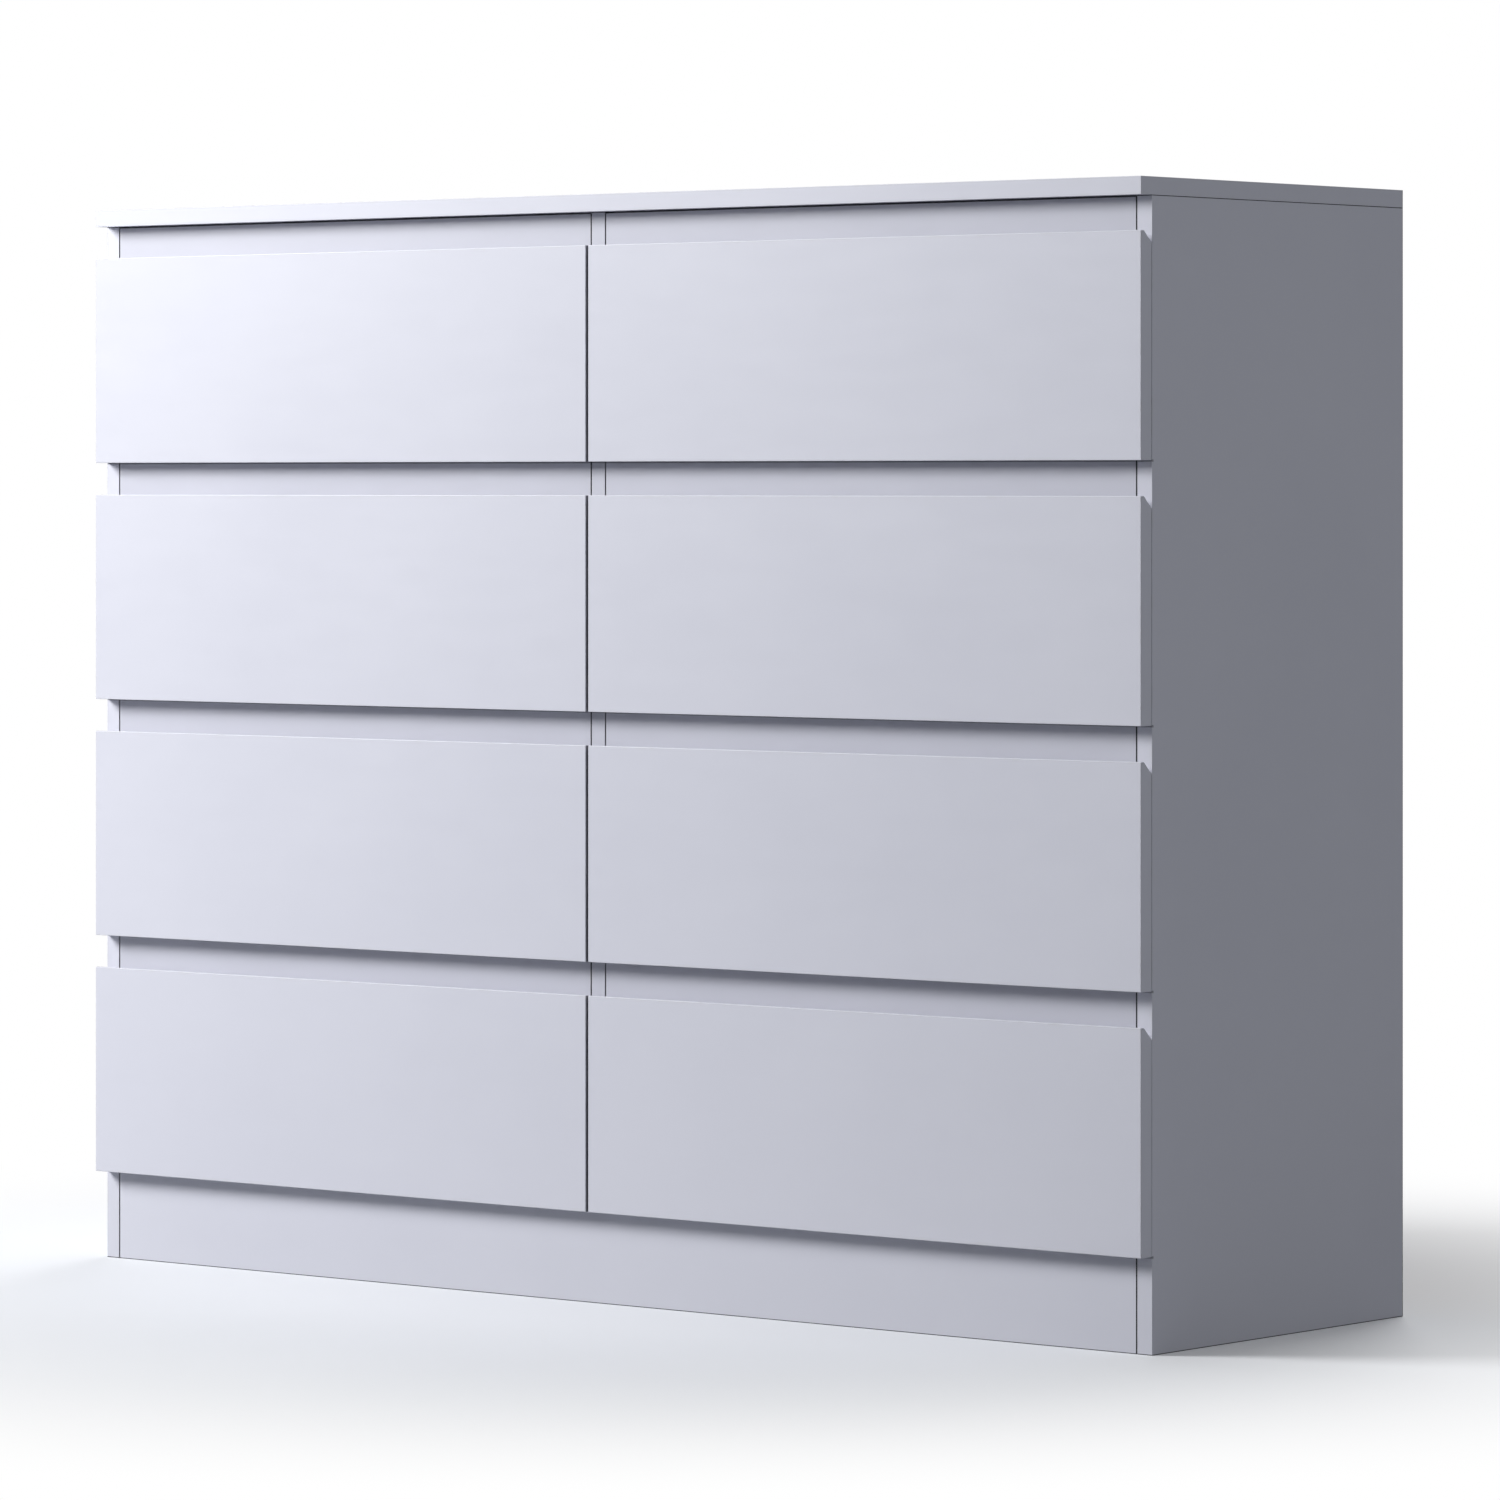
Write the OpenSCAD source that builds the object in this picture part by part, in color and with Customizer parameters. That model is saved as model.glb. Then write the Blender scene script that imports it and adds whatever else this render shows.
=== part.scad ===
// Wide dresser with eight handleless drawers in two columns and four rows.
// Millimetres, +Z up. The front faces -Y, and the origin is on the floor
// under the centre of the whole piece.

/* [Overall] */
// Width across the side panels
total_w = 1200; // [900:10:1800]
// Depth from the drawer fronts to the back
total_d = 380; // [310:5:600]
// Height from the floor to the top
total_h = 970; // [760:5:1400]

/* [Boards] */
// Thickness of the carcass boards
board = 15; // [12:0.5:22]
// Thickness of the drawer fronts
front_board = 15; // [12:0.5:22]
// Thickness of the drawer sides and backs
drawer_board = 12; // [10:0.5:16]
// Thickness of the hardboard back
back_sheet = 3; // [2.5:0.5:5]
// Thickness of the drawer bottoms
bottom_sheet = 3; // [2.5:0.5:5]
// Slack at the ends and over the top of a front rail
rail_slack = 0.8; // [0.3:0.1:1]

/* [Drawer fronts] */
// Height of the open finger gap over each front
finger_gap = 29.5; // [22:0.5:36]
// Gap between the left and the right fronts
column_gap = 3; // [2:0.5:5]
// Gap that the bumpers leave between a front and the carcass
bumper_gap = 0.5; // [0.3:0.1:2]
// Height of the lowest fronts over the floor
plinth_show = 81; // [60:1:120]
// Flat land along the top edge of a front
land = 4.5; // [3:0.5:7]
// Drop of the bevel behind the land
bevel_drop = 10; // [6:0.5:14]

/* [Rails and plinth] */
// Height of a front rail and of a rear top rail
rail_h = 45; // [40:1:60]
// How far the lowest fronts reach over the front edge of the bottom panel
plinth_lap = 4; // [2:0.5:8]
// Depth from the back to the rear plinth rail
plinth_rail_in = 25; // [10:1:60]

/* [Drawer boxes] */
// Clearance over and under a drawer box
box_clear = 6; // [4:0.5:12]
// Clearance between a drawer box and the cabinet back, at least
back_clear = 10; // [6:1:30]
// Height of the groove for the bottom over a side's lower edge
groove_up = 10; // [8:0.5:14]
// Depth of the groove for the bottom
groove_in = 6; // [4:0.5:7]
// Slack of a sheet in its groove
groove_slack = 0.2; // [0.1:0.1:0.5]

/* [Slides] */
// Side space that a slide fills
slide_w = 12.7; // [12.5:0.1:13.5]
// Height of the cabinet member
slide_h = 45; // [40:1:46]
// Thickness of the steel
steel = 1.2; // [1:0.1:1.5]
// Room for the balls between two members
ball_room = 3.2; // [2.8:0.1:3.6]
// Side clearance between two webs and at the flange ends
web_clear = 0.8; // [0.5:0.1:1]
// Height of a slide's centre line over the lower edge of its drawer box
slide_up = 37; // [30:1:50]
// Step of the stock slide lengths
slide_step = 50; // [50:50:100]
// Distance of a slide behind the front edges of the carcass
slide_in = 2; // [1:0.5:6]

/* [Fasteners] */
// Diameter of a dowel
dowel_d = 8; // [6:1:8]
// Depth of a dowel in the face of a board
dowel_face = 10; // [8:0.5:10]
// Depth of a dowel in the edge of a board
dowel_edge = 20; // [18:0.5:25]
// Diameter of a cam
cam_d = 15; // [12:1:15]
// Thickness of a cam
cam_t = 11; // [9:0.5:11]
// Distance from the edge of a board to the centre of a cam
cam_in = 24; // [22:0.5:34]
// Diameter of a cam bolt
bolt_d = 6; // [5:0.5:7]
// Radial room round a fastener in its hole
hole_room = 0.1; // [0.05:0.05:0.2]
// Width of the cross slot in a cam
slot_w = 1.6; // [1.2:0.2:2]
// Depth of the cross slot in a cam
slot_in = 3; // [2:0.5:4]

/* [Hidden] */
rows = 4;
sides = [-1, 1];
side_name = ["left", "right"];
// How far a cut runs past the face that it opens
through = 1;

// Carcass planes
front_y = -total_d / 2;
edge_y = front_y + front_board + bumper_gap;
back_y = total_d / 2;
sheet_y = back_y - back_sheet;
side_in = total_w / 2 - board;
top_under = total_h - board;
floor_under = plinth_show + plinth_lap;
floor_top = floor_under + board;
bay_w = side_in - board / 2;
bay_mid = board / 2 + bay_w / 2;
rebate_in = board / 2;

// Drawer fronts
front_h = (top_under - plinth_show - rows * finger_gap) / rows;
front_w = total_w / 2 - column_gap / 2;
function front_z(row) = top_under - row * (front_h + finger_gap);

// Drawer boxes, the same size in every row
rail_lap = rail_h - finger_gap + rail_slack;
rail_cover = (rail_h - finger_gap) / 2;
box_low = max(rail_cover, plinth_lap + board) + box_clear;
box_h = front_h - box_low - rail_lap - box_clear;
box_w = bay_w - 2 * slide_w;
box_y = front_y + front_board;
slide_len = floor((sheet_y - back_clear - box_y) / slide_step) * slide_step;
box_end = box_y + slide_len;
inner_w = box_w - 2 * drawer_board;
function box_z(row) = front_z(row) + box_low;

// Slides: three nested channels, with their webs on planes counted from the cabinet
cabinet_half = slide_h / 2;
middle_half = cabinet_half - steel - ball_room;
drawer_half = middle_half - steel - ball_room;
middle_web = steel + web_clear;
cabinet_reach = slide_w - steel - 2 * web_clear;
middle_reach = slide_w - steel - web_clear;
drawer_reach = middle_web + steel + web_clear;
slide_y = edge_y + slide_in;
slide_run = box_end - slide_y;

// Fasteners: where they stand along the depth, and over a rail's centre line
bolt_y = [-0.31, 0.31] * total_d;
dowel_y = [-0.18, 0.18] * total_d;
rail_y = edge_y + board / 2;
rear_y = sheet_y - board / 2;
plinth_rail_y = back_y - plinth_rail_in - board / 2;
rail_dowel_up = -rail_h / 4;
rail_bolt_up = rail_h / 4.5;
plinth_shares = [0.25, 0.75];

white = [0.91, 0.92, 0.94];
drawer_white = [0.87, 0.88, 0.89];
sheet_white = [0.84, 0.84, 0.83];
zinc = [0.70, 0.72, 0.74];
dark_zinc = [0.60, 0.61, 0.62];
beech = [0.80, 0.66, 0.48];

function drawer_name(side, row) = str("drawer_", side_name[side], "_", row);
DRAWER_PIECES = ["front", "sides", "back", "bottom", "slides"];

// A box from its lowest to its highest corner
module block(low, high) {
    translate(low) cube(high - low);
}

// A round bar from a point, pointing along +X, -X, +Z or -Z
module bar(d, at, along, l) {
    turn = along[2] == 0 ? [0, 90 * along[0], 0] : [along[2] > 0 ? 0 : 180, 0, 0];
    translate(at) rotate(turn) cylinder(d = d, h = l, $fn = 48);
}

// ---- Fasteners: every dowel, cam and bolt is placed once and also cuts its hole ----

// A dowel across the joint plane at p; it enters an edge along `along` and a face against it
module dowel_at(p, along, room) {
    bar(dowel_d + 2 * room, p - along * (dowel_face + room), along,
        dowel_face + dowel_edge + 2 * room);
}

// A dowel through a board whose middle plane holds p, into the edges on both its sides
module through_dowel_at(p, room) {
    half = board / 2 + dowel_edge + room;
    bar(dowel_d + 2 * room, p - [half, 0, 0], [1, 0, 0], 2 * half);
}

// How far a bolt reaches into an edge: to the rim of its cam, and its hole into the cam's
function bolt_reach(room) = cam_in - cam_d / 2 - hole_room + (room > 0 ? cam_d / 4 : 0);

// The shank of a cam bolt from the face of a board into the edge of the next one
module bolt_at(p, along, room) {
    bar(bolt_d + 2 * room, p - along * (dowel_face + room), along,
        dowel_face + room + bolt_reach(room));
}

// A bolt with two heads through a board whose middle plane holds p
module through_bolt_at(p, room) {
    half = board / 2 + bolt_reach(room);
    bar(bolt_d + 2 * room, p - [half, 0, 0], [1, 0, 0], 2 * half);
}

// A cam in the face of a board; its open face lies at p and it sinks along `sink`
module cam_at(p, sink, room) {
    depth = cam_t + 2 * room;
    lift = room > 0 ? through : 0;
    turn = sink[0] != 0 ? [0, 90 * sink[0], 0]
        : sink[1] != 0 ? [-90 * sink[1], 0, 0] : [sink[2] > 0 ? 0 : 180, 0, 0];
    translate(p) rotate(turn) difference() {
        translate([0, 0, -lift]) cylinder(d = cam_d + 2 * room, h = depth + lift, $fn = 48);
        if (room == 0) {
            for (a = [0, 90]) rotate(a)
                block([-cam_d / 4, -slot_w / 2, -through], [cam_d / 4, slot_w / 2, slot_in]);
        }
    }
}

// Joint planes, each list as [point, direction into the edge]
function top_joints(y_list) = [
    for (s = sides, y = y_list) [[s * (side_in + board / 2), y, top_under], [0, 0, -1]],
    for (y = y_list) [[0, y, top_under], [0, 0, -1]]];
function floor_joints(y_list) = [
    for (s = sides, y = y_list) [[s * side_in, y, floor_under + board / 2], [-s, 0, 0]]];
function rail_z(row) = row == 1
    ? top_under - rail_slack - rail_h / 2
    : front_z(row - 1) - finger_gap / 2;
function end_joints(up) = [
    for (s = sides, row = [1:rows]) [[s * side_in, rail_y, rail_z(row) + up], [-s, 0, 0]],
    for (s = sides) [[s * side_in, rear_y, top_under - rail_h / 2 + up], [-s, 0, 0]]];
function middle_joints(up) = concat(
    [for (row = [1:rows]) [0, rail_y, rail_z(row) + up]],
    [[0, rear_y, top_under - rail_h / 2 + up]]);
function plinth_joints() = [
    for (s = sides, y = [rail_y, plinth_rail_y], share = plinth_shares)
        [[s * side_in, y, share * floor_under], [-s, 0, 0]]];
// Two dowels stand in the bottom panel under the divider
function divider_joints() = [for (y = dowel_y) [[0, y, floor_top], [0, 0, 1]]];

module all_dowels(room) {
    for (j = concat(top_joints(dowel_y), floor_joints(dowel_y), end_joints(rail_dowel_up),
                    plinth_joints(), divider_joints()))
        dowel_at(j[0], j[1], room);
    for (p = middle_joints(rail_dowel_up)) through_dowel_at(p, room);
}

module all_bolts(room) {
    for (j = concat(top_joints(bolt_y), floor_joints(bolt_y), end_joints(rail_bolt_up)))
        bolt_at(j[0], j[1], room);
    for (p = middle_joints(rail_bolt_up)) through_bolt_at(p, room);
}

module all_cams(room) {
    // In the inner faces of the side panels and in the left face of the divider
    for (s = sides, y = bolt_y)
        cam_at([s * side_in, y, top_under - cam_in], [s, 0, 0], room);
    for (y = bolt_y) cam_at([-board / 2, y, top_under - cam_in], [1, 0, 0], room);
    // In the underside of the bottom panel
    for (s = sides, y = bolt_y)
        cam_at([s * (side_in - cam_in), y, floor_under], [0, 0, 1], room);
    // In the inner faces of the rails, at both ends
    for (s = sides, x = [board / 2 + cam_in, side_in - cam_in]) {
        for (row = [1:rows])
            cam_at([s * x, edge_y + board, rail_z(row) + rail_bolt_up], [0, -1, 0], room);
        cam_at([s * x, sheet_y - board, top_under - rail_h / 2 + rail_bolt_up], [0, 1, 0], room);
    }
}

// Cuts the fastener holes that reach into a board
module drilled() {
    difference() {
        children();
        all_dowels(hole_room);
        all_bolts(hole_room);
        all_cams(hole_room);
    }
}

// ---- Carcass ----

module top_panel() {
    color(white) drilled()
        block([-total_w / 2, front_y, top_under], [total_w / 2, back_y, total_h]);
}

// A side panel, with a rebate along its back edge that hides the edge of the back
module side_panel(s) {
    color(white) drilled() mirror([s < 0 ? 1 : 0, 0, 0]) difference() {
        block([side_in, edge_y, 0], [total_w / 2, back_y, top_under]);
        block([side_in - through, sheet_y, floor_under],
              [side_in + rebate_in, back_y + through, top_under + through]);
    }
}

module centre_divider() {
    color(white) drilled()
        block([-board / 2, edge_y, floor_top], [board / 2, sheet_y, top_under]);
}

module bottom_panel() {
    color(white) drilled()
        block([-side_in, edge_y, floor_under], [side_in, sheet_y, floor_top]);
}

module plinth_board() {
    color(white) drilled()
        block([-side_in + rail_slack, edge_y, 0],
              [side_in - rail_slack, edge_y + board, floor_under]);
}

module front_rails() {
    color(white) drilled() for (s = sides, row = [1:rows])
        mirror([s < 0 ? 1 : 0, 0, 0])
            block([board / 2 + rail_slack, edge_y, rail_z(row) - rail_h / 2],
                  [side_in - rail_slack, edge_y + board, rail_z(row) + rail_h / 2]);
}

// Two rails under the top at the back, and one under the bottom panel
module rear_rails() {
    color(white) drilled() {
        for (s = sides) mirror([s < 0 ? 1 : 0, 0, 0])
            block([board / 2, sheet_y - board, top_under - rail_h],
                  [side_in, sheet_y, top_under]);
        block([-side_in, plinth_rail_y - board / 2, 0],
              [side_in, plinth_rail_y + board / 2, floor_under]);
    }
}

// Two sheets that meet on the edge of the divider
module back_panels() {
    color(sheet_white) for (s = sides) mirror([s < 0 ? 1 : 0, 0, 0])
        block([groove_slack / 2, sheet_y, floor_under + groove_slack],
              [side_in + rebate_in - groove_slack, back_y, top_under - groove_slack]);
}

module dowels() {
    color(beech) all_dowels(0);
}

module cam_locks() {
    color(dark_zinc) {
        all_bolts(0);
        all_cams(0);
    }
}

// ---- Slides ----

// One channel along +Y: a web on the plane x0, and flanges from it to x1
module channel(x0, x1, half) {
    thick = x1 > x0 ? steel : -steel;
    translate([0, slide_run, 0]) rotate([90, 0, 0]) linear_extrude(slide_run) polygon([
        [x0, -half], [x1, -half], [x1, -half + steel], [x0 + thick, -half + steel],
        [x0 + thick, half - steel], [x1, half - steel], [x1, half], [x0, half]]);
}

// Copies a channel to both walls of a bay, x counted from the wall into the bay
module on_both_walls(side, row) {
    z = box_z(row) + slide_up;
    s = side == 0 ? -1 : 1;
    translate([s * bay_mid, slide_y, z]) for (w = sides)
        mirror([w > 0 ? 1 : 0, 0, 0]) translate([-bay_w / 2, 0, 0]) children();
}

module cabinet_slides() {
    color(zinc) for (side = [0, 1], row = [1:rows])
        on_both_walls(side, row) channel(0, cabinet_reach, cabinet_half);
}

module middle_slides(side, row) {
    color(zinc) on_both_walls(side, row) channel(middle_web, middle_reach, middle_half);
}

module drawer_slides(side, row) {
    color(zinc) on_both_walls(side, row) channel(slide_w, drawer_reach, drawer_half);
}

// ---- Drawers: x from the middle of the bay, z from the lower edge of the box ----

module at_box(side, row) {
    translate([(side == 0 ? -1 : 1) * bay_mid, 0, box_z(row)]) children();
}

// The front and the box sides share this groove, which holds the bottom
module groove() {
    half = inner_w / 2 + groove_in;
    block([-half, box_y - groove_in, groove_up],
          [half, box_end + through, groove_up + bottom_sheet + groove_slack]);
}

module drawer_front(side, row) {
    s = side == 0 ? -1 : 1;
    x0 = s > 0 ? column_gap / 2 : -total_w / 2;
    color(white) difference() {
        translate([x0, 0, front_z(row)]) rotate([90, 0, 90]) linear_extrude(front_w) polygon([
            [front_y, 0], [box_y, 0], [box_y, front_h - bevel_drop],
            [front_y + land, front_h], [front_y, front_h]]);
        at_box(side, row) groove();
    }
}

module drawer_sides(side, row) {
    color(drawer_white) at_box(side, row) difference() {
        for (w = sides) mirror([w < 0 ? 1 : 0, 0, 0])
            block([inner_w / 2, box_y, 0], [box_w / 2, box_end, box_h]);
        groove();
    }
}

// The back stands on the bottom, which slides in under it
module drawer_back(side, row) {
    color(drawer_white) at_box(side, row)
        block([-inner_w / 2, box_end - drawer_board, groove_up + bottom_sheet + groove_slack],
              [inner_w / 2, box_end, box_h]);
}

module drawer_bottom(side, row) {
    half = inner_w / 2 + groove_in - groove_slack;
    color(sheet_white) at_box(side, row)
        block([-half, box_y - groove_in + groove_slack, groove_up + groove_slack / 2],
              [half, box_end, groove_up + groove_slack / 2 + bottom_sheet]);
}

module drawer_piece(piece, side, row) {
    if (piece == "front") drawer_front(side, row);
    if (piece == "sides") drawer_sides(side, row);
    if (piece == "back") drawer_back(side, row);
    if (piece == "bottom") drawer_bottom(side, row);
    if (piece == "slides") drawer_slides(side, row);
}

top_panel();
side_panel(-1);  // left_side_panel
side_panel(1);  // right_side_panel
centre_divider();
bottom_panel();
plinth_board();
front_rails();
rear_rails();
back_panels();
cabinet_slides();
dowels();
cam_locks();
for (side = [0, 1], row = [1:rows]) {
    for (piece = DRAWER_PIECES)
        drawer_piece(piece, side, row);
    middle_slides(side, row);
}
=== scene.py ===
"""A wide white dresser with eight handleless drawers: finishes, fittings, light and camera."""

import logging
import math
from collections.abc import Callable
from dataclasses import dataclass, field, replace
from enum import Enum

import bpy
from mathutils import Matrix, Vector


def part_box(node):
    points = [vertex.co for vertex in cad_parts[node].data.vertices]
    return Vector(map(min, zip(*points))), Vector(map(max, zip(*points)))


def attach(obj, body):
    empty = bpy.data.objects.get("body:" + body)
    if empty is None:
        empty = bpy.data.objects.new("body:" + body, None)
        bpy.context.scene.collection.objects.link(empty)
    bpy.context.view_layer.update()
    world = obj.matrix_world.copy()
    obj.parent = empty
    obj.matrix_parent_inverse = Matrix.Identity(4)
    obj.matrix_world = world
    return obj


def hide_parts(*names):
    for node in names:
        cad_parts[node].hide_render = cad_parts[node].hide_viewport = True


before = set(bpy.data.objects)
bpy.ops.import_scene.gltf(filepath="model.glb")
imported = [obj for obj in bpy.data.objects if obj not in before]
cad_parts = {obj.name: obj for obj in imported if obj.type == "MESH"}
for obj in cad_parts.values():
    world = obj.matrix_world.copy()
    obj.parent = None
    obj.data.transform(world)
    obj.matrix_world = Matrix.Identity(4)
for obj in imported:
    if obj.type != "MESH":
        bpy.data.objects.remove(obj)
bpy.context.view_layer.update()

log = logging.getLogger("dresser")

MM = 0.001
SIDES = ("left", "right")
ROWS = (1, 2, 3, 4)
NEAR = 0.000001
FACING = 0.9

Colour = tuple[float, float, float]
Span = tuple[float, float]
Socket = bpy.types.NodeSocket
Piece = bpy.types.Object


class Axis(Enum):
    """A direction, as the turn that brings +Z onto it."""

    X = (0.0, math.pi / 2, 0.0)
    Y = (-math.pi / 2, 0.0, 0.0)
    Z = (0.0, 0.0, 0.0)


class Wall(Enum):
    """The wall of a bay that a slide is fixed to, as the direction from it into the bay."""

    LEFT = 1
    RIGHT = -1


# ---------------------------------------------------------------- node trees


class Wiring:
    """A node tree with short calls for adding and joining nodes."""

    def __init__(self, tree: bpy.types.NodeTree) -> None:
        """Keeps the material's or group's node tree."""
        self.tree = tree

    def node(self, kind: str, **settings: object) -> bpy.types.Node:
        """Adds a node.

        Args:
            kind: The node's type without its ShaderNode or Node prefix.
            settings: Properties of the node.

        Returns:
            The new node.
        """
        prefix = "Node" if kind in ("GroupInput", "GroupOutput") else "ShaderNode"
        made = self.tree.nodes.new(prefix + kind)
        for name, value in settings.items():
            setattr(made, name, value)
        return made

    def feed(self, target: Socket, value: object) -> None:
        """Links a socket to a target, or sets a constant on it."""
        if isinstance(value, bpy.types.NodeSocket):
            self.tree.links.new(value, target)
        elif target.type == "RGBA" and len(value) == 3:
            target.default_value = (*value, 1.0)
        else:
            target.default_value = value

    def math(self, operation: str, *values: object, clamp: bool = False) -> Socket:
        """Adds a Math node.

        Args:
            operation: The node's operation.
            values: Its inputs, as sockets or numbers.
            clamp: Whether the result is held between 0 and 1.

        Returns:
            Its output.
        """
        made = self.node("Math", operation=operation, use_clamp=clamp)
        for target, value in zip(made.inputs, values):
            self.feed(target, value)
        return made.outputs[0]

    def product(self, first: object, *others: object, clamp: bool = False) -> Socket:
        """Multiplies two or more values, the last time held between 0 and 1 if asked."""
        for index, other in enumerate(others):
            last = index == len(others) - 1
            first = self.math("MULTIPLY", first, other, clamp=clamp and last)
        return first

    def vector(self, operation: str, *values: object) -> Socket:
        """Adds a Vector Math node and returns its first output."""
        made = self.node("VectorMath", operation=operation)
        for target, value in zip(made.inputs, values):
            self.feed(target, value)
        return made.outputs[0]

    def axes(self, vector: Socket) -> bpy.types.bpy_prop_collection:
        """Splits a vector and returns its X, Y and Z."""
        made = self.node("SeparateXYZ")
        self.feed(made.inputs[0], vector)
        return made.outputs

    def place(self) -> Socket:
        """The point on the piece, in Object coordinates."""
        return self.node("TexCoord").outputs["Object"]

    def stretched(self, scale: Colour) -> Socket:
        """The point on the piece, with each axis scaled."""
        made = self.node("Mapping")
        self.feed(made.inputs["Vector"], self.place())
        self.feed(made.inputs["Scale"], scale)
        return made.outputs[0]

    def ramp(self, value: object, low: float, high: float, to: Span = (0.0, 1.0)) -> Socket:
        """Adds a smooth Map Range node.

        Args:
            value: The number to map.
            low: The value that gives the first result.
            high: The value that gives the second result.
            to: The two results.

        Returns:
            Its output.
        """
        made = self.node("MapRange", interpolation_type="SMOOTHSTEP")
        for name, given in (("Value", value), ("From Min", low), ("From Max", high),
                            ("To Min", to[0]), ("To Max", to[1])):
            self.feed(made.inputs[name], given)
        return made.outputs["Result"]

    def mix(self, share: object, first: object, second: object) -> Socket:
        """Mixes two colours by a share and returns the result."""
        made = self.node("Mix", data_type="RGBA")
        for index, value in ((0, share), (6, first), (7, second)):
            self.feed(made.inputs[index], value)
        return made.outputs[2]

    def noise(self, place: Socket, scale: object, detail: float, rough: float = 0.5) -> Socket:
        """Adds a Noise Texture.

        Args:
            place: The coordinates.
            scale: Cells per metre.
            detail: Octaves.
            rough: How strong the finer octaves are.

        Returns:
            Its factor.
        """
        made = self.node("TexNoise")
        for name, value in (("Vector", place), ("Scale", scale), ("Detail", detail),
                            ("Roughness", rough)):
            self.feed(made.inputs[name], value)
        return made.outputs["Fac"]

    def group(self, shared: bpy.types.NodeTree, **values: object) -> bpy.types.Node:
        """Places a shader node group with values or sockets on its inputs."""
        made = self.node("Group", node_tree=shared)
        for name, value in values.items():
            self.feed(made.inputs[name.replace("_", " ")], value)
        return made


def new_group(name: str, inputs: dict[str, str], outputs: dict[str, str]
              ) -> tuple[Wiring, dict[str, Socket], dict[str, Socket]]:
    """Starts a shader node group.

    Args:
        name: The group's name.
        inputs: Input names with their kinds, Float, Vector or Color.
        outputs: Output names with their kinds.

    Returns:
        The wiring, the sockets to read and the sockets to fill.
    """
    tree = bpy.data.node_groups.new(name, "ShaderNodeTree")
    for side, sockets in (("INPUT", inputs), ("OUTPUT", outputs)):
        for socket, kind in sockets.items():
            tree.interface.new_socket(name=socket, in_out=side, socket_type="NodeSocket" + kind)
    wiring = Wiring(tree)
    start = wiring.node("GroupInput")
    end = wiring.node("GroupOutput")
    return wiring, {s: start.outputs[s] for s in inputs}, {s: end.inputs[s] for s in outputs}


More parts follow.
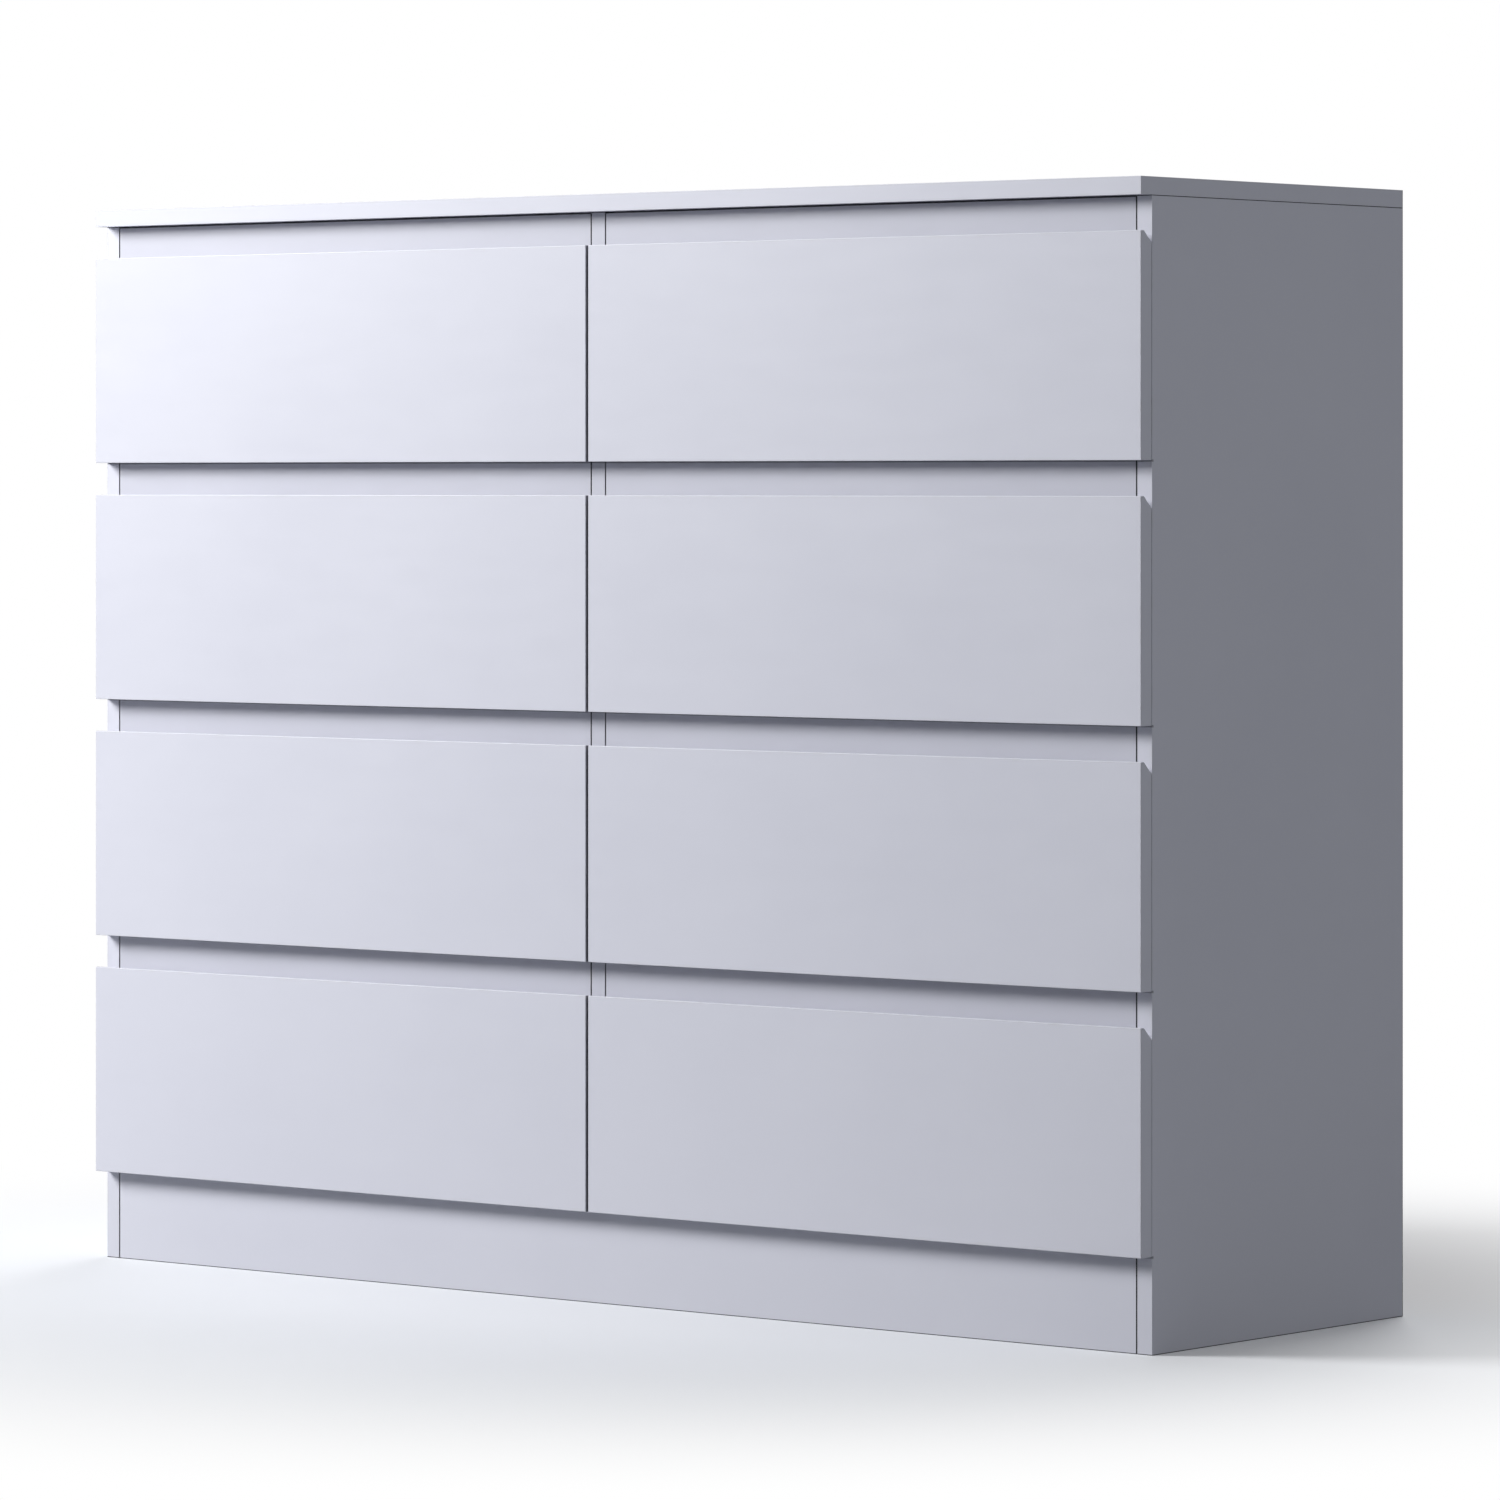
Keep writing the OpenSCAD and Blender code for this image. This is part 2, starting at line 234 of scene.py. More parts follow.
class Effects:
    """The effects that several finishes share, each a shader node group made once."""

    board_room: float = 0.5 * MM
    raw_skin: Span = (0.55 * MM, 0.75 * MM)

    def __init__(self) -> None:
        """Builds the groups."""
        self.edges = self._edges()
        self.wear = self._wear()
        self.pearl = self._pearl()
        self.chips = self._chips()
        self.dust = self._dust()
        self.fibre = self._fibre()
        self.rolled = self._rolled()

    def _edges(self) -> bpy.types.NodeTree:
        """Distance from a board's nearest edge, far below 0 off the board, and its raw sides.

        The boards of a node lie mirrored about its middle, so X is folded there first.
        """
        w, given, out = new_group(
            "board_edges", {"Middle": "Float", "Centre": "Vector", "Half": "Vector",
                            "Ends": "Float", "Rear": "Float", "Top": "Float", "Base": "Float"},
            {"Edge mm": "Float", "Raw": "Float"})
        x, y, z = w.axes(w.place())
        folded = w.node("CombineXYZ")
        w.feed(folded.inputs["X"], w.math("ABSOLUTE", w.math("SUBTRACT", x, given["Middle"])))
        w.feed(folded.inputs["Y"], y)
        w.feed(folded.inputs["Z"], z)
        from_centre = w.vector("SUBTRACT", folded.outputs[0], given["Centre"])
        a, b, c = w.axes(w.vector("SUBTRACT", given["Half"], w.vector("ABSOLUTE", from_centre)))
        least = w.math("MINIMUM", w.math("MINIMUM", a, b), c)
        second = w.math("MAXIMUM", w.math("MINIMUM", a, b),
                        w.math("MINIMUM", w.math("MAXIMUM", a, b), c))
        far_off = w.product(w.math("LESS_THAN", least, -self.board_room), -10.0)
        w.feed(out["Edge mm"], w.math("DIVIDE", w.math("ADD", second, far_off), MM))
        own, size = w.axes(from_centre), w.axes(given["Half"])
        sides = (("Ends", a), ("Rear", w.math("SUBTRACT", size["Y"], own["Y"])),
                 ("Top", w.math("SUBTRACT", size["Z"], own["Z"])),
                 ("Base", w.math("ADD", size["Z"], own["Z"])))
        raw: Socket | float = 0.0
        for side, depth in sides:
            near = w.ramp(depth, *self.raw_skin, (1.0, 0.0))
            raw = w.math("MAXIMUM", raw, w.product(near, given[side]))
        w.feed(out["Raw"], w.product(raw, w.math("GREATER_THAN", least, -self.board_room)))
        return w.tree

    @staticmethod
    def _wear() -> bpy.types.NodeTree:
        """Rubbed and slightly soiled patches along the edges."""
        w, given, out = new_group("edge_wear", {"Edge mm": "Float", "Width mm": "Float",
                                                "Amount": "Float"}, {"Mask": "Float"})
        near = w.math("SUBTRACT", 1.0, w.math("DIVIDE", given["Edge mm"], given["Width mm"]),
                      clamp=True)
        broken = w.ramp(w.noise(w.place(), 38.0, 6.0, 0.65), 0.48, 0.66)
        w.feed(out["Mask"], w.product(near, broken, given["Amount"], clamp=True))
        return w.tree

    @staticmethod
    def _pearl() -> bpy.types.NodeTree:
        """The fine pearl grain of pressed melamine, and the slow unevenness of its gloss."""
        w, given, out = new_group("pearl_grain", {"Grain": "Float"},
                                  {"Height": "Float", "Tone": "Float", "Gloss": "Float"})
        place = w.place()
        cells = w.node("TexVoronoi", feature="SMOOTH_F1")
        w.feed(cells.inputs["Vector"], place)
        w.feed(cells.inputs["Scale"], given["Grain"])
        w.feed(cells.inputs["Smoothness"], 0.6)
        fine = w.noise(place, 2200.0, 3.0, 0.6)
        w.feed(out["Height"], w.math("ADD", cells.outputs["Distance"], w.product(fine, 0.5)))
        w.feed(out["Tone"], w.ramp(w.noise(place, 3.1, 4.0, 0.55), 0.3, 0.7))
        streaks = w.stretched((1.0, 1.0, 6.0))
        w.feed(out["Gloss"], w.ramp(w.noise(streaks, 11.0, 5.0, 0.6), 0.3, 0.72))
        return w.tree

    @staticmethod
    def _chips() -> bpy.types.NodeTree:
        """Pressed wood chips, as a raw edge of particle board shows them."""
        w, given, out = new_group("chip_core", {"Scale": "Float"},
                                  {"Colour": "Color", "Height": "Float"})
        chips = w.node("TexVoronoi", feature="F1")
        w.feed(chips.inputs["Vector"], w.stretched((1.0, 1.0, 1.8)))
        w.feed(chips.inputs["Scale"], given["Scale"])
        w.feed(chips.inputs["Randomness"], 1.0)
        shade = w.node("SeparateColor")
        w.feed(shade.inputs[0], chips.outputs["Color"])
        colour = w.mix(shade.outputs[0], (0.33, 0.21, 0.11), (0.62, 0.46, 0.29))
        pores = w.ramp(w.noise(w.place(), 900.0, 4.0, 0.7), 0.30, 0.46)
        w.feed(out["Colour"], w.mix(pores, (0.12, 0.07, 0.035), colour))
        w.feed(out["Height"], w.product(pores, shade.outputs[1]))
        return w.tree

    @staticmethod
    def _dust() -> bpy.types.NodeTree:
        """A thin bloom of dust on what faces up."""
        w, given, out = new_group("settled_dust", {"Amount": "Float"}, {"Mask": "Float"})
        facing = w.axes(w.node("NewGeometry").outputs["Normal"])
        up = w.ramp(facing["Z"], 0.55, 0.95)
        patches = w.ramp(w.noise(w.place(), 46.0, 8.0, 0.68), 0.30, 0.80)
        w.feed(out["Mask"], w.product(up, patches, given["Amount"], clamp=True))
        return w.tree

    @staticmethod
    def _fibre() -> bpy.types.NodeTree:
        """The felted fibre of hardboard, with the screen pattern of its rough face."""
        w, given, out = new_group("felted_fibre", {"Screen": "Float"},
                                  {"Height": "Float", "Tone": "Float"})
        place = w.place()
        warp = w.node("TexNoise")
        w.feed(warp.inputs["Vector"], place)
        w.feed(warp.inputs["Scale"], 160.0)
        curl = w.node("VectorMath", operation="SCALE")
        w.feed(curl.inputs[0], warp.outputs["Color"])
        w.feed(curl.inputs["Scale"], 0.006)
        hairs = w.noise(w.vector("ADD", place, curl.outputs[0]), 620.0, 6.0, 0.7)
        weave = w.node("TexBrick", offset=0.0)
        w.feed(weave.inputs["Vector"], place)
        w.feed(weave.inputs["Scale"], given["Screen"])
        w.feed(out["Height"], w.math("ADD", hairs, w.product(weave.outputs["Fac"], -0.3)))
        w.feed(out["Tone"], w.ramp(hairs, 0.28, 0.72))
        return w.tree

    @staticmethod
    def _rolled() -> bpy.types.NodeTree:
        """Rolling lines and the cloudy bloom of zinc plate on steel."""
        w, given, out = new_group("rolled_zinc", {"Lines": "Float"},
                                  {"Height": "Float", "Tone": "Float", "Gloss": "Float"})
        lines = w.noise(w.stretched((1.0, 0.012, 1.0)), given["Lines"], 4.0, 0.7)
        clouds = w.noise(w.place(), 90.0, 5.0, 0.6)
        w.feed(out["Height"], lines)
        both = w.math("ADD", w.product(clouds, 0.5), w.product(lines, 0.5))
        w.feed(out["Tone"], w.ramp(both, 0.3, 0.7))
        gloss = w.math("ADD", lines, w.product(clouds, 0.6))
        w.feed(out["Gloss"], w.ramp(gloss, 0.5, 1.1))
        return w.tree


# ---------------------------------------------------------------- finishes


class Finish:
    """A finish, which wires a Principled shader."""

    def material(self, name: str, effects: Effects) -> bpy.types.Material:
        """Makes the finish.

        Args:
            name: The material's name.
            effects: The shared effects.

        Returns:
            The material.
        """
        made = bpy.data.materials.new(name)
        made.use_nodes = True
        shader = made.node_tree.nodes["Principled BSDF"]
        self.wire(Wiring(made.node_tree), shader, effects)
        return made

    def wire(self, w: Wiring, shader: bpy.types.Node, effects: Effects) -> None:
        """Adds the finish's own nodes."""
        raise NotImplementedError

    @staticmethod
    def bump(w: Wiring, shader: bpy.types.Node, height: Socket, strength: float,
             depth: float) -> None:
        """Feeds a height into the shader's normal.

        Args:
            w: The material's wiring.
            shader: Its Principled shader.
            height: The height.
            strength: The bump's strength.
            depth: How deep a height of 1 is, in metres.
        """
        made = w.node("Bump")
        made.inputs["Strength"].default_value = strength
        made.inputs["Distance"].default_value = depth
        w.feed(made.inputs["Height"], height)
        w.feed(shader.inputs["Normal"], made.outputs["Normal"])


@dataclass(frozen=True)
class RawSides:
    """The sides of a board that have no band and show its core."""

    ends: bool = False
    rear: bool = False
    top: bool = False
    base: bool = False


def folded_boards(node: str, middle: float) -> list[tuple[Vector, Vector]]:
    """Boxes of a node's boards, those left of its middle mirrored onto the others.

    Args:
        node: The CAD node.
        middle: The x of the mirror.

    Returns:
        The lowest and highest corner of each different board.
    """
    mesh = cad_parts[node].data
    joined: dict[tuple[float, ...], tuple[float, ...]] = {}

    def root(key: tuple[float, ...]) -> tuple[float, ...]:
        """The corner that stands for all corners of a board."""
        while joined[key] != key:
            joined[key] = joined[joined[key]]
            key = joined[key]
        return key

    keys = [tuple(round(c, 5) for c in vertex.co) for vertex in mesh.vertices]
    for key in keys:
        joined.setdefault(key, key)
    for face in mesh.polygons:
        first, *others = (keys[i] for i in face.vertices)
        for other in others:
            joined[root(other)] = root(first)
    boards: dict[tuple[float, ...], list[tuple[float, ...]]] = {}
    for key in joined:
        boards.setdefault(root(key), []).append(key)
    boxes: set[tuple[float, ...]] = set()
    for corners in boards.values():
        low = [min(c[i] for c in corners) for i in range(3)]
        high = [max(c[i] for c in corners) for i in range(3)]
        near, far = sorted((abs(low[0] - middle), abs(high[0] - middle)))
        if low[0] < middle < high[0]:
            near = -far
        boxes.add(tuple(round(c, 4) for c in (near, low[1], low[2], far, high[1], high[2])))
    return [(Vector(box[:3]), Vector(box[3:])) for box in sorted(boxes)]


@dataclass(frozen=True)
class Melamine(Finish):
    """White melamine on particle board, edged with a plastic band."""

    node: str = ""
    raw: RawSides = RawSides()
    face: Colour = (0.735, 0.735, 0.806)
    shade: Colour = (0.713, 0.714, 0.787)
    band: Colour = (0.746, 0.746, 0.817)
    seam: Colour = (0.42, 0.42, 0.44)
    rubbed: Colour = (0.66, 0.65, 0.66)
    dusty: Colour = (0.70, 0.69, 0.68)
    # painted shadow: the near-black that the raw core turns to towards a board's edges, so its
    # joints read dark
    shadow: Colour = (0.020, 0.021, 0.026)
    # painted shade: the dark colour of the fronts' facing ends and of the lines under each
    # front's lower edge
    painted_shade: Colour = (0.11, 0.11, 0.125)
    rough: Span = (0.36, 0.42)
    core_rough: float = 0.9
    grain: float = 900.0
    chip_scale: float = 420.0
    chip_height: float = 6.0
    band_mm: float = 0.9
    wear_mm: float = 3.5
    core_shade_mm: Span = (1.0, 1.7)
    worn: float = 0.3
    dust: float = 0.10
    # strength of the painted shade on the fronts' facing ends
    gap_shade_strength: float = 0.86
    # strength of the painted shadow lines under each front's lower edge
    closing_shadow_strength: float = 0.7

    def wire(self, w: Wiring, shader: bpy.types.Node, effects: Effects) -> None:
        """Lays the face, the band, painted shade, wear, dust and the raw core over each other;
        the core turns to painted shadow near its edges.
        """
        distance, core = self._board_edges(w, effects)
        pearl = w.group(effects.pearl, Grain=self.grain)
        colour = w.mix(pearl.outputs["Tone"], self.shade, self.face)
        off_seam = w.math("ABSOLUTE", w.math("SUBTRACT", distance, self.band_mm))
        on_band = w.ramp(distance, self.band_mm, self.band_mm + 0.05, (1.0, 0.0))
        colour = w.mix(on_band, colour, self.band)
        colour = w.mix(w.ramp(off_seam, 0.04, 0.11, (0.5, 0.0)), colour, self.seam)
        # painted shade: the fronts darken their facing ends; the carcass boards get thin dark
        # lines under each front's lower edge
        is_front = self.node.startswith("drawer")
        shade_mask = self._gap_shade(w) if is_front else self._closing_shadow(w)
        colour = w.mix(shade_mask, colour, self.painted_shade)
        worn = w.group(effects.wear, Amount=self.worn, Edge_mm=distance, Width_mm=self.wear_mm)
        colour = w.mix(worn.outputs["Mask"], colour, self.rubbed)
        dust = w.group(effects.dust, Amount=self.dust)
        colour = w.mix(dust.outputs["Mask"], colour, self.dusty)
        chips = w.group(effects.chips, Scale=self.chip_scale)
        # painted shadow: within 1.0 to 1.7 mm of an edge the raw core fades to near black, so the
        # joints read as dark lines
        rim = w.ramp(distance, *self.core_shade_mm, (1.0, 0.0))
        core_colour = w.mix(rim, chips.outputs["Colour"], self.shadow)
        w.feed(shader.inputs["Base Color"], w.mix(core, colour, core_colour))
        gloss = w.ramp(pearl.outputs["Gloss"], 0.0, 1.0, self.rough)
        gloss = w.math("ADD", gloss, w.product(dust.outputs["Mask"], 0.5), clamp=True)
        w.feed(shader.inputs["Roughness"],
               w.math("MAXIMUM", gloss, w.product(core, self.core_rough)))
        core_height = w.product(chips.outputs["Height"], core, self.chip_height)
        self.bump(w, shader, w.math("ADD", pearl.outputs["Height"], core_height), 0.16, 0.06 * MM)

    def _board_edges(self, w: Wiring, effects: Effects) -> tuple[Socket, Socket]:
        """Places the edge group for every board of the node.

        Args:
            w: The material's wiring.
            effects: The shared effects.

        Returns:
            The distance from the nearest edge in millimetres, and the mask of the raw sides.
        """
        low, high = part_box(self.node)
        middle = (low[0] + high[0]) / 2
        distance: Socket | float = -10000.0
        mask: Socket | float = 0.0
        for corner, opposite in folded_boards(self.node, middle):
            edges = w.group(effects.edges, Centre=tuple((corner + opposite) / 2),
                            Half=tuple((opposite - corner) / 2), Middle=middle,
                            Ends=float(self.raw.ends), Rear=float(self.raw.rear),
                            Top=float(self.raw.top), Base=float(self.raw.base))
            distance = w.math("MAXIMUM", distance, edges.outputs["Edge mm"])
            mask = w.math("MAXIMUM", mask, edges.outputs["Raw"])
        return distance, mask

    def _gap_shade(self, w: Wiring) -> Socket:
        """Painted shade on the fronts' ends where the two columns nearly meet, from just behind
        the face backwards.
        """
        x, y, _ = w.axes(w.place())
        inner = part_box("drawer_right_1_front")[0]
        across = w.ramp(w.math("ABSOLUTE", x), inner[0] + 0.3 * MM, inner[0] + 0.6 * MM,
                        (1.0, 0.0))
        behind = w.ramp(y, inner[1] + 0.5 * MM, inner[1] + 1.4 * MM)
        return w.product(across, behind, self.gap_shade_strength)

    def _closing_shadow(self, w: Wiring) -> Socket:
        """Fine lines of painted shadow across the carcass, just under where each front's lower
        edge closes on it.
        """
        _, y, z = w.axes(w.place())
        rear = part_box("drawer_right_1_front")[1][1]
        lines: Socket | float = 0.0
        for row in ROWS:
            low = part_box(f"drawer_right_{row}_front")[0][2]
            under = w.ramp(z, low - 1.9 * MM, low - 0.7 * MM)
            over = w.ramp(z, low + 0.3 * MM, low + 0.9 * MM, (1.0, 0.0))
            lines = w.math("MAXIMUM", lines, w.product(under, over))
        ahead = w.ramp(y, rear + 2 * MM, rear + 3 * MM, (1.0, 0.0))
        return w.product(lines, ahead, self.closing_shadow_strength)


@dataclass(frozen=True)
class Foil(Finish):
    """Thin white foil wrapped round particle board, as on drawer boxes."""

    face: Colour = (0.745, 0.752, 0.765)
    shade: Colour = (0.700, 0.706, 0.718)
    dusty: Colour = (0.60, 0.58, 0.55)
    rough: Span = (0.42, 0.56)
    grain: float = 420.0
    dust: float = 0.25

    def wire(self, w: Wiring, shader: bpy.types.Node, effects: Effects) -> None:
        """Lays dust over the grained foil."""
        pearl = w.group(effects.pearl, Grain=self.grain)
        colour = w.mix(pearl.outputs["Tone"], self.shade, self.face)
        dust = w.group(effects.dust, Amount=self.dust)
        w.feed(shader.inputs["Base Color"], w.mix(dust.outputs["Mask"], colour, self.dusty))
        w.feed(shader.inputs["Roughness"], w.ramp(pearl.outputs["Gloss"], 0.0, 1.0, self.rough))
        self.bump(w, shader, pearl.outputs["Height"], 0.22, 0.09 * MM)


@dataclass(frozen=True)
class Hardboard(Finish):
    """Hardboard with one painted face."""

    painted: Colour = (0.0, 0.0, 1.0)
    paint: Colour = (0.72, 0.72, 0.71)
    brown: Colour = (0.33, 0.20, 0.115)
    pale: Colour = (0.47, 0.32, 0.20)
    rough: Span = (0.86, 0.5)
    screen: float = 520.0

    def wire(self, w: Wiring, shader: bpy.types.Node, effects: Effects) -> None:
        """Paints the face that looks in the painted direction and leaves the rest raw."""
        fibre = w.group(effects.fibre, Screen=self.screen)
        raw_face = w.mix(fibre.outputs["Tone"], self.brown, self.pale)
        facing = w.node("VectorMath", operation="DOT_PRODUCT")
        w.feed(facing.inputs[0], w.node("NewGeometry").outputs["Normal"])
        w.feed(facing.inputs[1], self.painted)
        covered = w.ramp(facing.outputs["Value"], 0.4, 0.6)
        thin = w.ramp(fibre.outputs["Tone"], 0.0, 1.0, (0.93, 1.0))
        paint = w.mix(thin, tuple(c * 0.8 for c in self.paint), self.paint)
        w.feed(shader.inputs["Base Color"], w.mix(covered, raw_face, paint))
        w.feed(shader.inputs["Roughness"], w.ramp(covered, 0.0, 1.0, self.rough))
        self.bump(w, shader, fibre.outputs["Height"], 0.5, 0.12 * MM)


@dataclass(frozen=True)
class Metal(Finish):
    """Plated steel or cast zinc."""

    bright: Colour = (0.72, 0.74, 0.76)
    dull: Colour = (0.62, 0.64, 0.67)
    rough: Span = (0.30, 0.44)
    lines: float = 900.0
    relief: float = 0.10

    def wire(self, w: Wiring, shader: bpy.types.Node, effects: Effects) -> None:
        """Gives bare metal its rolling lines and its bloom."""
        rolled = w.group(effects.rolled, Lines=self.lines)
        w.feed(shader.inputs["Base Color"], w.mix(rolled.outputs["Tone"], self.dull, self.bright))
        shader.inputs["Metallic"].default_value = 1.0
        w.feed(shader.inputs["Roughness"], w.ramp(rolled.outputs["Gloss"], 0.0, 1.0, self.rough))
        self.bump(w, shader, rolled.outputs["Height"], self.relief, 0.05 * MM)


@dataclass(frozen=True)
class Plastic(Finish):
    """Moulded plastic or rubber with a slightly uneven gloss."""

    colour: Colour
    rough: Span = (0.30, 0.42)
    grain: float = 1500.0

    def wire(self, w: Wiring, shader: bpy.types.Node, effects: Effects) -> None:
        """Gives the plastic its moulded grain."""
        pearl = w.group(effects.pearl, Grain=self.grain)
        darker = tuple(c * 0.88 for c in self.colour)
        w.feed(shader.inputs["Base Color"], w.mix(pearl.outputs["Tone"], darker, self.colour))
        w.feed(shader.inputs["Roughness"], w.ramp(pearl.outputs["Gloss"], 0.0, 1.0, self.rough))
        self.bump(w, shader, pearl.outputs["Height"], 0.12, 0.08 * MM)


@dataclass(frozen=True)
class Beech(Finish):
    """Raw beech with fine flecks along the grain."""

    light: Colour = (0.62, 0.43, 0.26)
    dark: Colour = (0.44, 0.27, 0.14)
    rough: Span = (0.62, 0.74)

    def wire(self, w: Wiring, shader: bpy.types.Node, effects: Effects) -> None:
        """Draws the flecks along the dowels."""
        grain = w.noise(w.stretched((0.15, 1.0, 0.15)), 1500.0, 5.0, 0.7)
        flecks = w.ramp(grain, 0.35, 0.65)
        w.feed(shader.inputs["Base Color"], w.mix(flecks, self.dark, self.light))
        w.feed(shader.inputs["Roughness"], w.ramp(flecks, 0.0, 1.0, self.rough))
        self.bump(w, shader, flecks, 0.3, 0.1 * MM)


# ---------------------------------------------------------------- modelling by hand


def select_only(*objects: Piece) -> None:
    """Leaves just these objects selected, the first of them active."""
    bpy.ops.object.select_all(action="DESELECT")
    for each in objects:
        each.select_set(True)
    bpy.context.view_layer.objects.active = objects[0]


def settle(piece: Piece, name: str) -> Piece:
    """Names a piece and puts its place, turn and scale into its mesh."""
    piece.name = piece.data.name = name
    select_only(piece)
    bpy.ops.object.transform_apply(location=True, rotation=True, scale=True)
    return piece


def add_box(name: str, low: Vector, high: Vector) -> Piece:
    """Adds a box from its lowest to its highest corner."""
    bpy.ops.mesh.primitive_cube_add(size=1.0, location=(low + high) / 2)
    made = bpy.context.object
    made.scale = high - low
    return settle(made, name)


def add_disc(name: str, middle: Vector, radius: float, height: float, axis: Axis,
             vertices: int = 24) -> Piece:
    """Adds a short cylinder.

    Args:
        name: Its name.
        middle: Its middle.
        radius: Its radius.
        height: Its height.
        axis: The direction of its axis.
        vertices: The corners of its outline.

    Returns:
        The new object.
    """
    bpy.ops.mesh.primitive_cylinder_add(vertices=vertices, radius=radius, depth=height,
                                        location=middle, rotation=axis.value)
    return settle(bpy.context.object, name)


def add_stud(disc: Piece, outer: Vector, rounding: float, segments: int = 2) -> Piece:
    """Rounds the rim of a disc's outer face, as on a nail head or a bumper.

    Args:
        disc: The disc.
        outer: The direction that its outer face looks in.
        rounding: The rounding's width.
        segments: Its steps.

    Returns:
        The same object.
    """
    pick_faces(disc, lambda face: face.normal.dot(outer) > FACING)
    in_edit_mode(disc, "FACE", lambda: bpy.ops.mesh.bevel(
        offset=rounding, segments=segments, affect="EDGES"))
    smooth(disc, 40.0)
    return disc


def pick_edges(piece: Piece, wanted: Callable[[Vector, Vector], bool]) -> None:
    """Selects a mesh's edges by a test on their two ends, and nothing else."""
    mesh = piece.data
    for part in (mesh.polygons, mesh.edges, mesh.vertices):
        part.foreach_set("select", [False] * len(part))
    for edge in mesh.edges:
        a, b = (mesh.vertices[i].co for i in edge.vertices)
        if wanted(a, b):
            edge.select = True
            for i in edge.vertices:
                mesh.vertices[i].select = True


def pick_faces(piece: Piece, wanted: Callable[[bpy.types.MeshPolygon], bool]) -> None:
    """Selects a mesh's faces by a test on the face, and nothing else."""
    mesh = piece.data
    for part in (mesh.edges, mesh.vertices):
        part.foreach_set("select", [False] * len(part))
    for face in mesh.polygons:
        face.select = wanted(face)


def in_edit_mode(piece: Piece, kind: str, *steps: Callable[[], object]) -> None:
    """Runs edit-mode steps on a piece.

    Args:
        piece: The piece, with its selection made.
        kind: The selection mode, EDGE or FACE.
        steps: Calls with no arguments.
    """
    select_only(piece)
    bpy.context.tool_settings.mesh_select_mode = (False, kind == "EDGE", kind == "FACE")
    bpy.ops.object.mode_set(mode="EDIT")
    for step in steps:
        step()
    bpy.ops.object.mode_set(mode="OBJECT")


def apply_modifiers(piece: Piece) -> None:
    """Applies all of a piece's modifiers."""
    select_only(piece)
    for made in list(piece.modifiers):
        bpy.ops.object.modifier_apply(modifier=made.name)


def smooth(piece: Piece, degrees: float = 35.0) -> None:
    """Shades a piece smooth, with its sharp edges kept."""
    select_only(piece)
    bpy.ops.object.shade_smooth_by_angle(angle=math.radians(degrees))


def join(name: str, parts: list[Piece]) -> Piece:
    """Joins parts into one object and returns it."""
    select_only(*parts)
    if len(parts) > 1:
        bpy.ops.object.join()
    made = bpy.context.view_layer.objects.active
    made.name = made.data.name = name
    return made


def copy_at(pattern: Piece, shift: Vector, mirrored: bool = False) -> Piece:
    """Copies a pattern piece with its own mesh.

    Args:
        pattern: The piece, modelled at the origin.
        shift: Where the copy goes.
        mirrored: Whether the copy is mirrored across X first.

    Returns:
        The copy, settled in place.
    """
    made = pattern.copy()
    made.data = pattern.data.copy()
    bpy.context.collection.objects.link(made)
    made.location = shift
    if mirrored:
        made.scale.x = -1.0
    settle(made, pattern.name)
    if mirrored:
        pick_faces(made, lambda face: True)
        in_edit_mode(made, "FACE", bpy.ops.mesh.flip_normals)
    return made


def cut(piece: Piece, cutters: list[Piece]) -> None:
    """Cuts the cutters' shapes out of a piece and removes the cutters."""
    tool = join("cutter", cutters)
    made = piece.modifiers.new("holes", "BOOLEAN")
    made.operation, made.object, made.solver = "DIFFERENCE", tool, "EXACT"
    apply_modifiers(piece)
    discard(tool)


def discard(*patterns: Piece) -> None:
    """Removes pieces that were only copied or cut with."""
    for pattern in patterns:
        bpy.data.objects.remove(pattern)


def finish_piece(piece: Piece, material: bpy.types.Material, body: str) -> Piece:
    """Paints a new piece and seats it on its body.

    Args:
        piece: The piece.
        material: Its finish.
        body: The CAD body that it moves with.

    Returns:
        The piece.
    """
    piece.data.materials.clear()
    piece.data.materials.append(material)
    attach(piece, body)
    log.info("%s: %d faces on %s", piece.name, len(piece.data.polygons), body)
    return piece


# ---------------------------------------------------------------- carcass and drawers


@dataclass(frozen=True)
class Finishes:
    """Every finish of the dresser."""

    board: Melamine = Melamine()
    # painted shade: a darker copy of the board finish for the front rails and the divider, which
    # stand in shade behind the fronts
    rail: Melamine = Melamine(face=(0.625, 0.625, 0.69), shade=(0.605, 0.606, 0.672),
                              band=(0.635, 0.635, 0.70))
    box: Foil = Foil()
    drawer_sheet: Hardboard = Hardboard()
    back_sheet: Hardboard = Hardboard(painted=(0.0, -1.0, 0.0))
    slide: Metal = Metal()
    screw: Metal = Metal(bright=(0.74, 0.74, 0.73), dull=(0.58, 0.58, 0.58), rough=(0.2, 0.34))
    cast: Metal = Metal(bright=(0.46, 0.47, 0.48), dull=(0.34, 0.35, 0.36), rough=(0.42, 0.6),
                        lines=300.0, relief=0.3)
    cap: Plastic = Plastic(colour=(0.74, 0.75, 0.77))
    lever: Plastic = Plastic(colour=(0.025, 0.025, 0.027), rough=(0.38, 0.5))
    bumper: Plastic = Plastic(colour=(0.62, 0.64, 0.66), rough=(0.22, 0.3))
    dowel: Beech = Beech()


